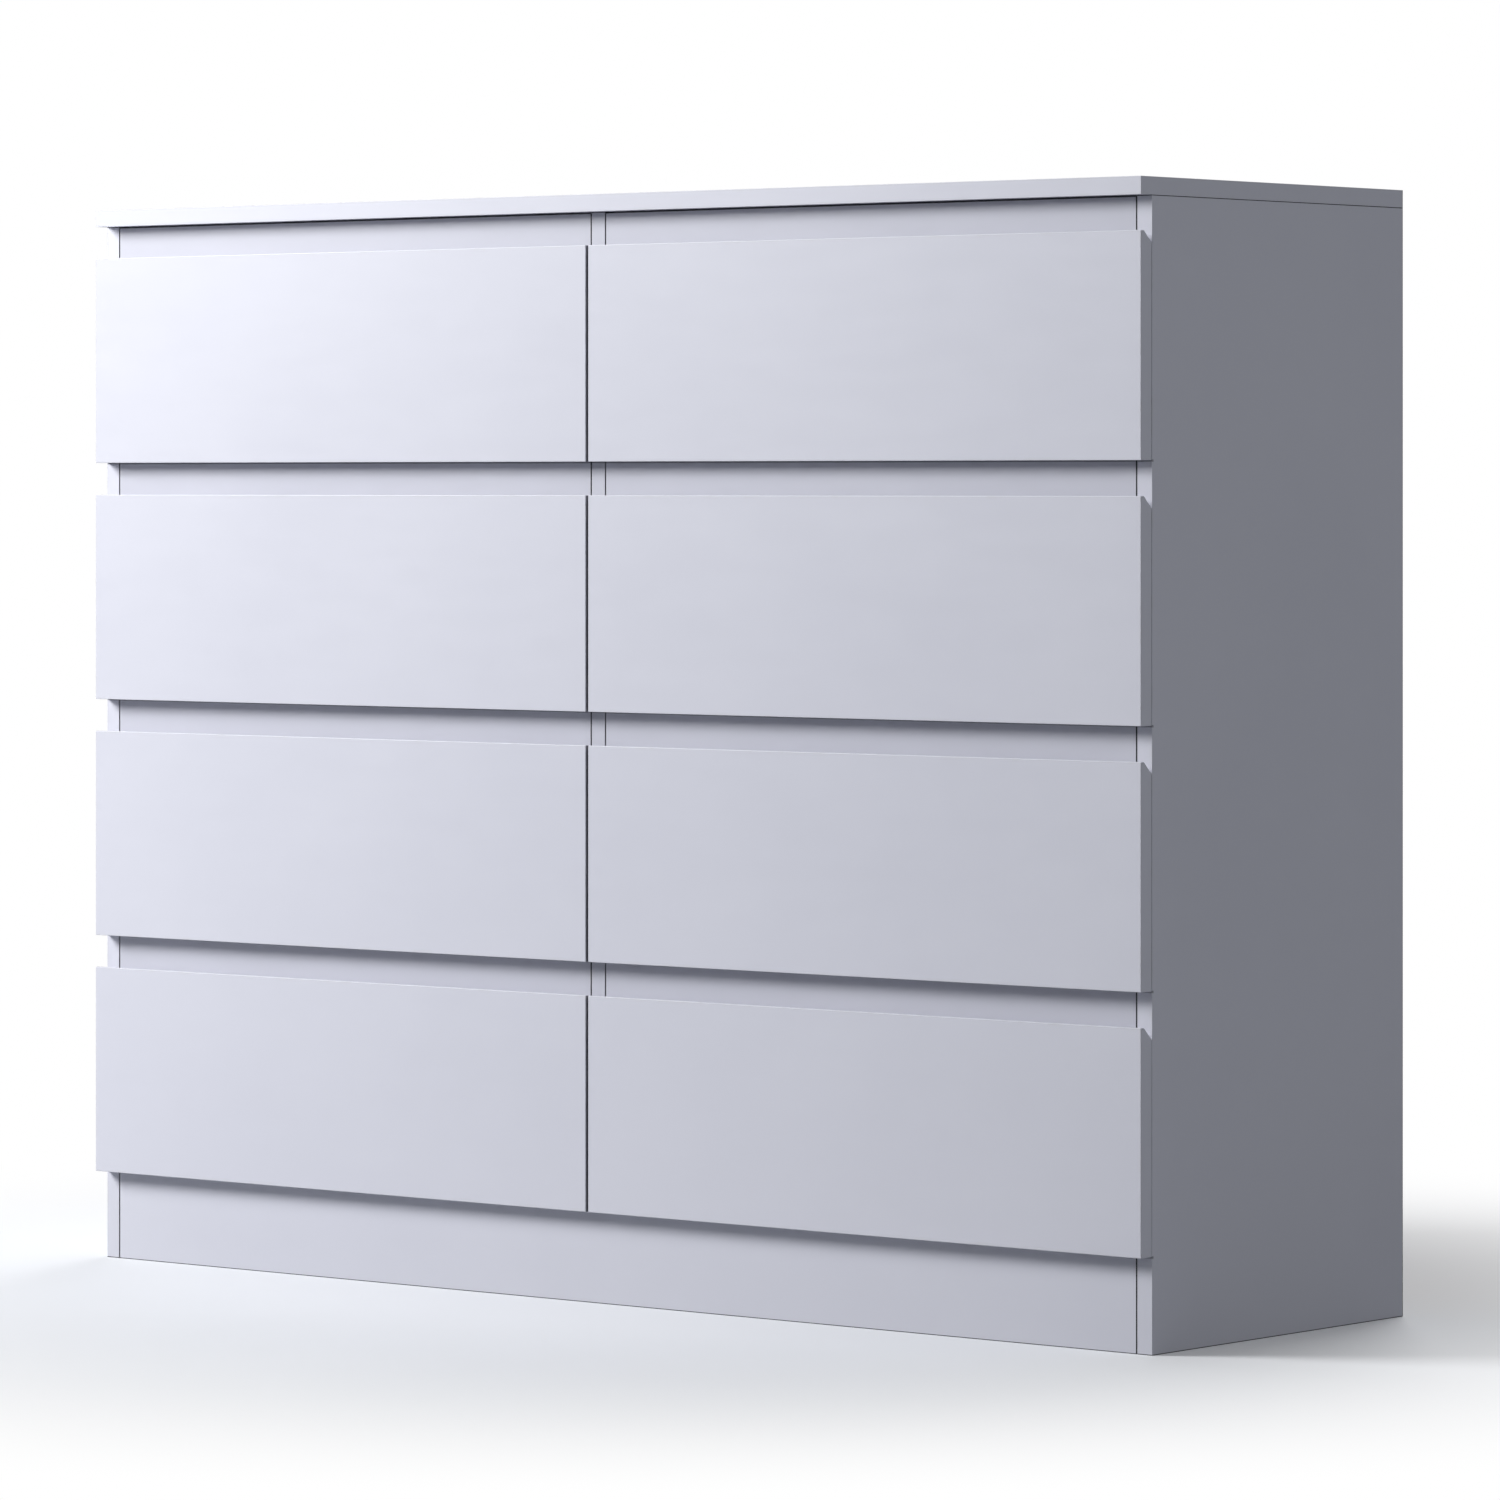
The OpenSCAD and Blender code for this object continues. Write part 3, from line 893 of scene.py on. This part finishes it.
@dataclass
class Boards:
    """The CAD boards: their rounded edges and their finishes."""

    effects: Effects
    finishes: Finishes
    round_board: float = 0.8 * MM
    round_front: float = 0.4 * MM
    round_box: float = 0.5 * MM
    round_sheet: float = 0.2 * MM
    weld: float = 0.01 * MM
    flat_angle: float = math.radians(0.5)
    sharp_angle: float = math.radians(40)

    def round_edges(self, node: str, width: float) -> None:
        """Rounds a CAD node's edges with live modifiers, by the rounding's width."""
        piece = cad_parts[node]
        weld = piece.modifiers.new("weld", "WELD")
        weld.merge_threshold = self.weld
        flat = piece.modifiers.new("flat_faces", "DECIMATE")
        flat.decimate_type, flat.angle_limit = "DISSOLVE", self.flat_angle
        made = piece.modifiers.new("rounding", "BEVEL")
        made.width, made.segments, made.limit_method = width, 3, "ANGLE"
        made.angle_limit, made.miter_outer = self.sharp_angle, "MITER_ARC"

    def dress(self, node: str, material: bpy.types.Material) -> None:
        """Puts a finish on a CAD node."""
        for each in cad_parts[node].material_slots:
            each.material = material
        log.info("%s: %s", node, material.name)

    def raw_sides(self) -> dict[str, RawSides]:
        """The melamine nodes with their raw sides."""
        upright = RawSides(rear=True, top=True, base=True)
        carcass = {
            "top_panel": RawSides(rear=True),
            "left_side_panel": upright,
            "right_side_panel": upright,
            "centre_divider": upright,
            "bottom_panel": RawSides(ends=True, rear=True),
            "plinth_board": RawSides(ends=True, top=True, base=True),
            "front_rails": RawSides(ends=True, top=True),
            "rear_rails": RawSides(ends=True, top=True, base=True),
        }
        fronts = {f"drawer_{side}_{row}_front": RawSides() for side in SIDES for row in ROWS}
        return carcass | fronts

    def build(self) -> None:
        """Finishes every board and sheet of the carcass and of the drawers."""
        effects, finishes = self.effects, self.finishes
        for node, raw in self.raw_sides().items():
            is_front = node.startswith("drawer")
            self.round_edges(node, self.round_front if is_front else self.round_board)
            # painted shade: the front rails and the divider take the darker copy of the board
            # finish
            in_shade = node in ("front_rails", "centre_divider")
            finish = replace(finishes.rail if in_shade else finishes.board, node=node, raw=raw)
            self.dress(node, finish.material("melamine_" + node, effects))
        box = finishes.box.material("foil_drawer_box", effects)
        base = finishes.drawer_sheet.material("hardboard_drawer_bottom", effects)
        for side in SIDES:
            for row in ROWS:
                for part, finish, width in (("sides", box, self.round_box),
                                            ("back", box, self.round_box),
                                            ("bottom", base, self.round_sheet)):
                    node = f"drawer_{side}_{row}_{part}"
                    self.round_edges(node, width)
                    self.dress(node, finish)
        self.round_edges("back_panels", self.round_sheet)
        self.dress("back_panels", finishes.back_sheet.material("hardboard_back", effects))
        self.dress("dowels", finishes.dowel.material("beech", effects))
        self.dress("cam_locks", finishes.cast.material("metal_cam", effects))


# ---------------------------------------------------------------- slides


@dataclass
class Channel:
    """One steel channel of a slide, x counted from the wall and y from its front end."""

    name: str
    web: float
    tip: float
    half: float
    run: float
    steel: float = 1.2 * MM
    corner: float = 2.0 * MM
    lip: float = 0.0
    holes: list[float] = field(default_factory=list)
    slots: list[float] = field(default_factory=list)
    hole_r: float = 2.3 * MM
    slot_half: float = 5.0 * MM
    cutter: float = 6.0 * MM

    def pattern(self) -> Piece:
        """Models the channel at the origin and returns it."""
        low = Vector((min(self.web, self.tip), 0.0, -self.half))
        high = Vector((max(self.web, self.tip), self.run, self.half))
        made = add_box(self.name, low, high)
        way = 1.0 if self.tip > self.web else -1.0
        pick_faces(made, lambda f: f.normal.x * way > FACING or abs(f.normal.y) > FACING)
        in_edit_mode(made, "FACE", lambda: bpy.ops.mesh.delete(type="FACE"))
        if self.lip:
            for up in (1.0, -1.0):
                self._curl(made, up)
        corners = (self.web, self.tip) if self.lip else (self.web,)
        pick_edges(made, lambda a, b: abs(a.y - b.y) > self.run / 2 and any(
            abs(a.x - x) < NEAR for x in corners) and abs(abs(a.z) - self.half) < NEAR)
        in_edit_mode(made, "EDGE", lambda: bpy.ops.mesh.bevel(
            offset=min(self.corner, self.lip or self.corner) * 0.9, segments=4, affect="EDGES"))
        thick = made.modifiers.new("steel", "SOLIDIFY")
        thick.thickness, thick.offset, thick.use_even_offset = self.steel, -1.0, True
        apply_modifiers(made)
        self._pierce(made)
        smooth(made, 30.0)
        return made

    def _curl(self, made: Piece, up: float) -> None:
        """Turns the free edge of one flange inwards."""
        pick_edges(made, lambda a, b: all(
            abs(end.x - self.tip) < NEAR and abs(end.z - up * self.half) < NEAR
            for end in (a, b)))
        in_edit_mode(made, "EDGE", lambda: bpy.ops.mesh.extrude_edges_move(
            TRANSFORM_OT_translate={"value": (0.0, 0.0, -up * self.lip)}))

    def _pierce(self, made: Piece) -> None:
        """Cuts the screw holes and the slots into the web."""
        cutters = []
        for y in self.holes + self.slots:
            cutters.append(add_disc("hole", Vector((self.web, y, 0.0)), self.hole_r, self.cutter,
                                    Axis.X))
            if y in self.slots:
                pick_edges(cutters[-1], lambda a, b: min(a.y, b.y) > y + 10 * NEAR)
                in_edit_mode(cutters[-1], "EDGE", lambda: bpy.ops.transform.translate(
                    value=(0.0, 2 * self.slot_half, 0.0)))
        if cutters:
            cut(made, cutters)


@dataclass
class Cage:
    """A ball cage: a thin strip bent round the ball rows, with its balls."""

    name: str
    web: float
    tip: float
    row_z: float
    ball_x: float
    start: float
    run: float
    count: int = 12
    strip: float = 0.5 * MM
    ball_r: float = 1.5 * MM
    pocket_room: float = 0.1 * MM
    window: Vector = Vector((2 * MM, 0.0, 6 * MM))

    def pattern(self) -> tuple[Piece, Piece]:
        """Models the cage and its balls at the origin and returns both."""
        strip = Channel(self.name, self.web, self.tip, self.row_z + self.strip / 2, self.run,
                        steel=self.strip, corner=0.6 * MM).pattern()
        strip.location.y = self.start
        settle(strip, self.name)
        step = self.run / self.count
        places = [Vector((self.ball_x, self.start + step * (i + 0.5), up * self.row_z))
                  for i in range(self.count) for up in (1.0, -1.0)]
        cut(strip, [add_disc("pocket", place, self.ball_r + self.pocket_room, 2 * MM, Axis.Z, 12)
                    for place in places])
        windows = []
        for low, high in ((0.1, 0.45), (0.55, 0.9)):
            first = Vector((self.web, self.start + self.run * low, 0.0))
            last = Vector((self.web, self.start + self.run * high, 0.0))
            windows.append(add_box("window", first - self.window, last + self.window))
        cut(strip, windows)
        balls = []
        for place in places:
            bpy.ops.mesh.primitive_ico_sphere_add(subdivisions=2, radius=self.ball_r,
                                                  location=place)
            balls.append(settle(bpy.context.object, "ball"))
        made = join(self.name + "_balls", balls)
        smooth(made, 60.0)
        return strip, made


@dataclass
class Screw:
    """A cross-recess screw head that points along +X, seated at x = 0."""

    name: str
    radius: float
    height: float
    sunk: float = 0.0

    def pattern(self) -> Piece:
        """Models the head at the origin and returns it."""
        tall = self.height + self.sunk
        head = add_disc(self.name, Vector((self.height - tall / 2, 0.0, 0.0)), self.radius, tall,
                        Axis.X)
        pick_faces(head, lambda face: face.normal.x > FACING)
        if self.sunk:
            in_edit_mode(head, "FACE", lambda: bpy.ops.mesh.inset(thickness=self.radius * 0.1))
        else:
            in_edit_mode(head, "FACE", lambda: bpy.ops.mesh.bevel(
                offset=self.height * 0.6, segments=4, affect="EDGES"))
        arm, wide = self.radius * 0.52, self.radius * 0.16
        deep = Vector((self.height - tall * 0.55, 0.0, 0.0))
        far = Vector((self.height * 1.5, 0.0, 0.0))
        for y, z in ((arm, wide), (wide, arm)):
            reach = Vector((0.0, y, z))
            cut(head, [add_box("arm", deep - reach, far + reach)])
        smooth(head, 32.0)
        return head


@dataclass
class Slides:
    """The ball slides: three nested channels a side, ball cages, screws and release levers."""

    effects: Effects
    finishes: Finishes
    web_gap: float = 0.8 * MM
    steel: float = 1.2 * MM
    width: float = 12.7 * MM
    screw_places: tuple[float, ...] = (0.09, 0.5, 0.91)
    lever_at: float = 0.66
    lever_run: float = 64 * MM
    lever_half: float = 3.5 * MM
    lever_wave: float = 2.6 * MM
    lever_steps: int = 8

    def __post_init__(self) -> None:
        """Reads the run and the heights of the channels from the frame."""
        low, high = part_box("middle_slides_left_1")
        self.run = high[1] - low[1]
        self.middle_half = (high[2] - low[2]) / 2
        low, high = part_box("drawer_left_1_slides")
        self.drawer_half = (high[2] - low[2]) / 2
        self.cabinet_half = 2 * self.middle_half - self.drawer_half
        self.middle_web = self.steel + self.web_gap

    def channels(self) -> dict[str, Channel]:
        """The three channels of one slide."""
        spots = [share * self.run for share in self.screw_places]
        between = [(spots[0] + spots[1]) / 2, (spots[1] + spots[2]) / 2]
        return {
            "cabinet": Channel("cabinet_channel", 0.0, self.width - self.steel - 2 * self.web_gap,
                               self.cabinet_half, self.run, lip=1.9 * MM, holes=spots,
                               slots=between, hole_r=3.1 * MM),
            "middle": Channel("middle_channel", self.middle_web,
                              self.width - self.steel - self.web_gap, self.middle_half, self.run,
                              slots=between, slot_half=9 * MM, hole_r=3.2 * MM),
            "drawer": Channel("drawer_channel", self.width,
                              self.middle_web + self.steel + self.web_gap, self.drawer_half,
                              self.run, holes=spots, slots=between),
        }

    def cages(self) -> tuple[Cage, Cage]:
        """The outer cage runs in the rear half of the middle channel, the inner one in front."""
        outer = Cage("outer_cage", self.steel + self.web_gap * 0.2, self.width * 0.68,
                     (self.cabinet_half - self.steel + self.middle_half) / 2, self.width * 0.46,
                     self.run * 0.54, self.run * 0.42)
        inner = Cage("inner_cage", self.middle_web + self.steel + self.web_gap * 0.2,
                     self.width * 0.78, (self.middle_half - self.steel + self.drawer_half) / 2,
                     self.width * 0.58, self.run * 0.03, self.run * 0.42)
        return outer, inner

    def lever(self) -> Piece:
        """Models the release lever, a bar in one wave inside the drawer channel."""
        y = self.run * self.lever_at
        made = add_box("release_lever", Vector((self.width * 0.50, y, -self.lever_half)),
                       Vector((self.width * 0.72, y + self.lever_run, self.lever_half)))
        pick_faces(made, lambda face: True)
        in_edit_mode(made, "FACE",
                     lambda: bpy.ops.mesh.subdivide(number_cuts=self.lever_steps - 1))
        for i in range(1, self.lever_steps):
            share = i / self.lever_steps
            ring = y + self.lever_run * share
            pick_edges(made, lambda a, b: all(abs(end.y - ring) < 100 * NEAR for end in (a, b)))
            rise = self.lever_wave * math.sin(2 * math.pi * share)
            in_edit_mode(made, "EDGE", lambda: bpy.ops.transform.translate(
                value=(0.0, 0.0, rise)))
        rounding = made.modifiers.new("rounding", "BEVEL")
        rounding.width, rounding.segments, rounding.limit_method = 0.5 * MM, 2, "ANGLE"
        rounding.angle_limit = math.radians(35)
        apply_modifiers(made)
        smooth(made)
        return made

    def bays(self, side: str) -> tuple[tuple[Wall, float], tuple[Wall, float]]:
        """The two walls of a column's bay, with their x."""
        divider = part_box("centre_divider")
        if side == "left":
            return (Wall.LEFT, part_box("left_side_panel")[1][0]), (Wall.RIGHT, divider[0][0])
        return (Wall.LEFT, divider[1][0]), (Wall.RIGHT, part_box("right_side_panel")[0][0])

    def build(self) -> None:
        """Models one of each kind, copies them to all slides and seats them."""
        steel = self.finishes.slide.material("metal_slide", self.effects)
        bright = self.finishes.screw.material("metal_screw", self.effects)
        black = self.finishes.lever.material("plastic_lever", self.effects)
        patterns = {name: channel.pattern() for name, channel in self.channels().items()}
        cages = [part for cage in self.cages() for part in cage.pattern()]
        lever = self.lever()
        pan = Screw("pan_screw", 3.2 * MM, 1.7 * MM).pattern()
        flat = Screw("flat_screw", 3.0 * MM, 0.1 * MM, sunk=1.2 * MM).pattern()
        on_cabinet: dict[str, list[Piece]] = {"channels": [], "screws": []}
        for body in (f"{side}_{row}" for side in SIDES for row in ROWS):
            low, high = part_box(f"middle_slides_{body}")
            middle, own, cage_parts, screws, levers = [], [], [], [], []
            for wall, x in self.bays(body.split("_")[0]):
                at = Vector((x, low[1], (low[2] + high[2]) / 2))
                flip = wall is Wall.RIGHT
                on_cabinet["channels"].append(copy_at(patterns["cabinet"], at, flip))
                middle.append(copy_at(patterns["middle"], at, flip))
                own.append(copy_at(patterns["drawer"], at, flip))
                cage_parts += [copy_at(part, at, flip) for part in cages]
                levers.append(copy_at(lever, at, flip))
                for share in self.screw_places:
                    spot = at + Vector((0.0, share * self.run, 0.0))
                    seat = Vector(((self.width - self.steel) * wall.value, 0.0, 0.0))
                    screws.append(copy_at(pan, spot + seat, not flip))
                    seat = Vector((self.steel * wall.value, 0.0, 0.0))
                    on_cabinet["screws"].append(copy_at(flat, spot + seat, flip))
            for name, parts, finish, rides, slot, stands_for in (
                    ("middle_channels", middle, steel, "middle", "slide_steel",
                     f"middle_slides_{body}"),
                    ("drawer_channels", own, steel, "drawer", "slide_steel",
                     f"drawer_{body}_slides"),
                    ("ball_cages", cage_parts, bright, "middle", "slide_steel", ""),
                    ("slide_screws", screws, bright, "drawer", "slide_steel", ""),
                    ("release_levers", levers, black, "drawer", "black_plastic", "")):
                made = finish_piece(join(f"{name}_{body}", parts), finish, f"{rides}_{body}")
                if stands_for:
                    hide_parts(stands_for)
        made = finish_piece(join("cabinet_channels", on_cabinet["channels"]), steel, "carcass")
        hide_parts("cabinet_slides")
        finish_piece(join("cabinet_slide_screws", on_cabinet["screws"]), bright, "carcass")
        discard(*patterns.values(), *cages, lever, pan, flat)


# ---------------------------------------------------------------- small fittings


@dataclass
class Fittings:
    """Caps, screws and nails of the drawers, bumpers behind the fronts, nails of the back."""

    effects: Effects
    finishes: Finishes
    cap_r: float = 8.6 * MM
    cap_t: float = 1.3 * MM
    cap_in: float = 24 * MM
    cap_crown: float = 0.15 * MM
    cap_heights: Span = (0.27, 0.80)
    screw_heights: Span = (0.30, 0.82)
    bumper_r: float = 3.23 * MM
    bumper_in: float = 40 * MM
    bumper_up: float = 3.6 * MM
    nail_r: float = 2.4 * MM
    nail_t: float = 0.6 * MM
    nail_round: float = 0.36 * MM
    nail_step: float = 0.1
    nail_in: float = 7.5 * MM
    side_nail_in: float = 16.5 * MM
    middle_nail_in: float = 4 * MM
    bottom_nails: int = 5
    bottom_nail_in: float = 20 * MM

    def cap(self) -> Piece:
        """Models a domed cover cap that points along +X, and returns it."""
        made = add_disc("cap", Vector((self.cap_t / 2, 0.0, 0.0)), self.cap_r, self.cap_t, Axis.X,
                        40)
        pick_faces(made, lambda face: face.normal.x > FACING)
        in_edit_mode(made, "FACE",
                     lambda: bpy.ops.mesh.bevel(offset=self.cap_t * 0.7, segments=4,
                                                affect="EDGES"),
                     lambda: bpy.ops.mesh.inset(thickness=self.cap_r * 0.3),
                     lambda: bpy.ops.transform.translate(value=(self.cap_crown, 0.0, 0.0)))
        smooth(made, 40.0)
        return made

    def drawer(self, body: str, cap: Piece, screw: Piece, white: bpy.types.Material,
               bright: bpy.types.Material) -> None:
        """Adds one drawer's cover caps, and its box screws with the nails of its bottom.

        Args:
            body: The drawer's side and row.
            cap: The cap pattern.
            screw: The screw pattern.
            white: The caps' finish.
            bright: The screws' and nails' finish.
        """
        low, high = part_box(f"drawer_{body}_sides")
        back_low, back_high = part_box(f"drawer_{body}_back")
        height, back_y = high[2] - low[2], (back_low[1] + back_high[1]) / 2
        caps, screws = [], []
        for made, pattern, shares, y, walls in (
                (caps, cap, self.cap_heights, low[1] + self.cap_in,
                 ((back_low, False), (back_high, True))),
                (screws, screw, self.screw_heights, back_y, ((low, True), (high, False)))):
            for corner, flip in walls:
                for share in shares:
                    at = Vector((corner[0], y, low[2] + share * height))
                    made.append(copy_at(pattern, at, flip))
        finish_piece(join(f"cover_caps_{body}", caps), white, f"drawer_{body}")
        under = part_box(f"drawer_{body}_bottom")[0][2]
        first, last = back_low[0] + self.bottom_nail_in, back_high[0] - self.bottom_nail_in
        for i in range(self.bottom_nails):
            x = first + (last - first) * i / (self.bottom_nails - 1)
            nail = add_disc("nail", Vector((x, back_y, under - self.nail_t / 2)), self.nail_r,
                            self.nail_t, Axis.Z, 12)
            screws.append(add_stud(nail, Vector((0.0, 0.0, -1.0)), self.nail_round))
        finish_piece(join(f"box_screws_{body}", screws), bright, f"drawer_{body}")

    def bumpers(self, material: bpy.types.Material) -> None:
        """Sticks two clear bumpers behind the lower edge of each front."""
        dots = []
        rail_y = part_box("front_rails")[0][1]
        for side in SIDES:
            for row in ROWS:
                low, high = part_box(f"drawer_{side}_{row}_front")
                gap = rail_y - high[1]
                for x in (low[0] + self.bumper_in, high[0] - self.bumper_in):
                    at = Vector((x, rail_y - gap * 0.45, low[2] + self.bumper_up))
                    dot = add_disc("dot", at, self.bumper_r, gap * 0.9, Axis.Y)
                    dots.append(add_stud(dot, Vector((0.0, -1.0, 0.0)), gap * 0.4, 3))
        finish_piece(join("bumpers", dots), material, "carcass")

    def back_nails(self, material: bpy.types.Material) -> None:
        """Nails the two back sheets along their edges."""
        low, high = (Vector(corner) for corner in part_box("back_panels"))
        pattern = add_stud(add_disc("nail", Vector((0.0, self.nail_t / 2, 0.0)), self.nail_r,
                                    self.nail_t, Axis.Y, 12),
                           Vector((0.0, 1.0, 0.0)), self.nail_round)
        places = []
        bottom, top = low.z + self.nail_in, high.z - self.nail_in
        up = round((top - bottom) / self.nail_step)
        for i in range(up + 1):
            z = bottom + (top - bottom) * i / up
            places += [(x, z) for x in (low.x + self.side_nail_in, -self.middle_nail_in,
                                        self.middle_nail_in, high.x - self.side_nail_in)]
        half_run = high.x - 2 * self.nail_in
        across = round(half_run / self.nail_step)
        for i in range(1, across):
            x = self.nail_in + half_run * i / across
            places += [(sign * x, z) for sign in (1, -1) for z in (bottom, top)]
        nails = [copy_at(pattern, Vector((x, high.y, z))) for x, z in places]
        finish_piece(join("back_nails", nails), material, "carcass")
        discard(pattern)

    def build(self) -> None:
        """Adds all the small fittings."""
        bright = self.finishes.screw.material("metal_fittings", self.effects)
        white = self.finishes.cap.material("plastic_cap", self.effects)
        cap = self.cap()
        screw = Screw("box_screw", 3.6 * MM, 0.2 * MM, sunk=1.2 * MM).pattern()
        for side in SIDES:
            for row in ROWS:
                self.drawer(f"{side}_{row}", cap, screw, white, bright)
        discard(cap, screw)
        self.bumpers(self.finishes.bumper.material("plastic_bumper", self.effects))
        self.back_nails(bright)


# ---------------------------------------------------------------- studio


@dataclass(frozen=True)
class Ground(Finish):
    """The pale floor, which brightens into the white backdrop where the camera sees it."""

    pale: tuple[Colour, Colour] = ((0.86, 0.87, 0.89), (0.88, 0.89, 0.91))
    bounce: Colour = (0.22, 0.23, 0.25)
    rough: float = 0.7
    fade: Span = (0.45, 1.35)

    def wire(self, w: Wiring, shader: bpy.types.Node, effects: Effects) -> None:
        """Fades the floor into the backdrop, and dims what it throws back at the dresser."""
        place = w.place()
        tone = w.ramp(w.noise(place, 1.5, 3.0), 0.3, 0.7)
        seen = w.node("LightPath").outputs["Is Camera Ray"]
        w.feed(shader.inputs["Base Color"], w.mix(seen, self.bounce, w.mix(tone, *self.pale)))
        shader.inputs["Roughness"].default_value = self.rough
        away = w.node("VectorMath", operation="LENGTH")
        w.feed(away.inputs[0], place)
        backdrop = w.node("Emission")
        backdrop.inputs["Color"].default_value = (1.0, 1.0, 1.0, 1.0)
        blend = w.node("MixShader")
        w.feed(blend.inputs[0], w.product(w.ramp(away.outputs["Value"], *self.fade), seen))
        w.feed(blend.inputs[1], shader.outputs["BSDF"])
        w.feed(blend.inputs[2], backdrop.outputs["Emission"])
        output = w.tree.nodes["Material Output"]
        w.feed(output.inputs["Surface"], blend.outputs["Shader"])


@dataclass(frozen=True)
class Lamp:
    """A square area lamp."""

    name: str
    at: Vector
    towards: Vector
    size: float
    watts: float
    colour: Colour

    def build(self) -> None:
        """Adds the lamp."""
        bpy.ops.object.light_add(type="AREA", location=self.at)
        made = bpy.context.object
        made.name = self.name
        made.rotation_euler = (self.towards - self.at).to_track_quat("-Z", "Y").to_euler()
        made.data.size, made.data.energy, made.data.color = self.size, self.watts, self.colour


@dataclass(frozen=True)
class Studio:
    """A plain pale floor, soft light from the upper left and a level camera."""

    effects: Effects
    camera_at: Vector = Vector((4.1268, -4.9825, 0.7164))
    camera_turn: float = math.radians(39.44)
    lens: float = 173.74
    sensor: float = 36.0
    shift_y: float = -0.1769
    far_clip: float = 200.0
    floor_half: float = 30.0
    sky: Colour = (0.90, 0.94, 1.0)
    sky_strength: float = 0.13
    lamps: tuple[Lamp, ...] = (
        Lamp("key", Vector((-3.1, -2.55, 2.35)), Vector((-0.2, -0.19, 0.6)), 1.6, 238.0,
             (0.975, 0.985, 1.0)),
        Lamp("fill", Vector((4.4, -0.5, 1.9)), Vector((0.6, 0.0, 0.6)), 2.4, 29.0,
             (0.95, 0.97, 1.0)),
        Lamp("rear", Vector((-1.4, 4.4, 2.8)), Vector((0.0, 0.2, 0.5)), 3.0, 120.0,
             (0.97, 0.98, 1.0)),
    )

    def camera(self) -> None:
        """Sets the camera level, with its picture plane shifted down onto the dresser."""
        bpy.ops.object.camera_add(location=self.camera_at,
                                  rotation=(math.pi / 2, 0.0, self.camera_turn))
        made = bpy.context.object
        made.name, made.data.lens, made.data.shift_y = "camera", self.lens, self.shift_y
        made.data.sensor_width, made.data.clip_end = self.sensor, self.far_clip
        bpy.context.scene.camera = made

    def floor(self) -> None:
        """Lays the floor."""
        bpy.ops.mesh.primitive_plane_add(size=2 * self.floor_half)
        made = bpy.context.object
        made.name = "floor"
        made.data.materials.append(Ground().material("floor", self.effects))

    def light(self) -> None:
        """Lights the front from the upper left and leaves the right side in soft shade."""
        for lamp in self.lamps:
            lamp.build()
        world = bpy.data.worlds.new("studio")
        world.use_nodes = True
        bpy.context.scene.world = world
        w = Wiring(world.node_tree)
        back = world.node_tree.nodes["Background"]
        seen = w.node("LightPath").outputs["Is Camera Ray"]
        w.feed(back.inputs["Color"], w.mix(seen, self.sky, (1.0, 1.0, 1.0)))
        w.feed(back.inputs["Strength"], w.ramp(seen, 0.0, 1.0, (self.sky_strength, 1.0)))
        bpy.context.scene.view_settings.view_transform = "Standard"

    def build(self) -> None:
        """Sets up the camera, the floor and the light."""
        self.camera()
        self.floor()
        self.light()


def main() -> None:
    """Builds the studio, then the dresser from its boards to its smallest fittings."""
    logging.basicConfig(level=logging.INFO, format="%(name)s: %(message)s")
    effects, finishes = Effects(), Finishes()
    Studio(effects).build()
    Boards(effects, finishes).build()
    Slides(effects, finishes).build()
    Fittings(effects, finishes).build()


if __name__ == "__main__":
    main()
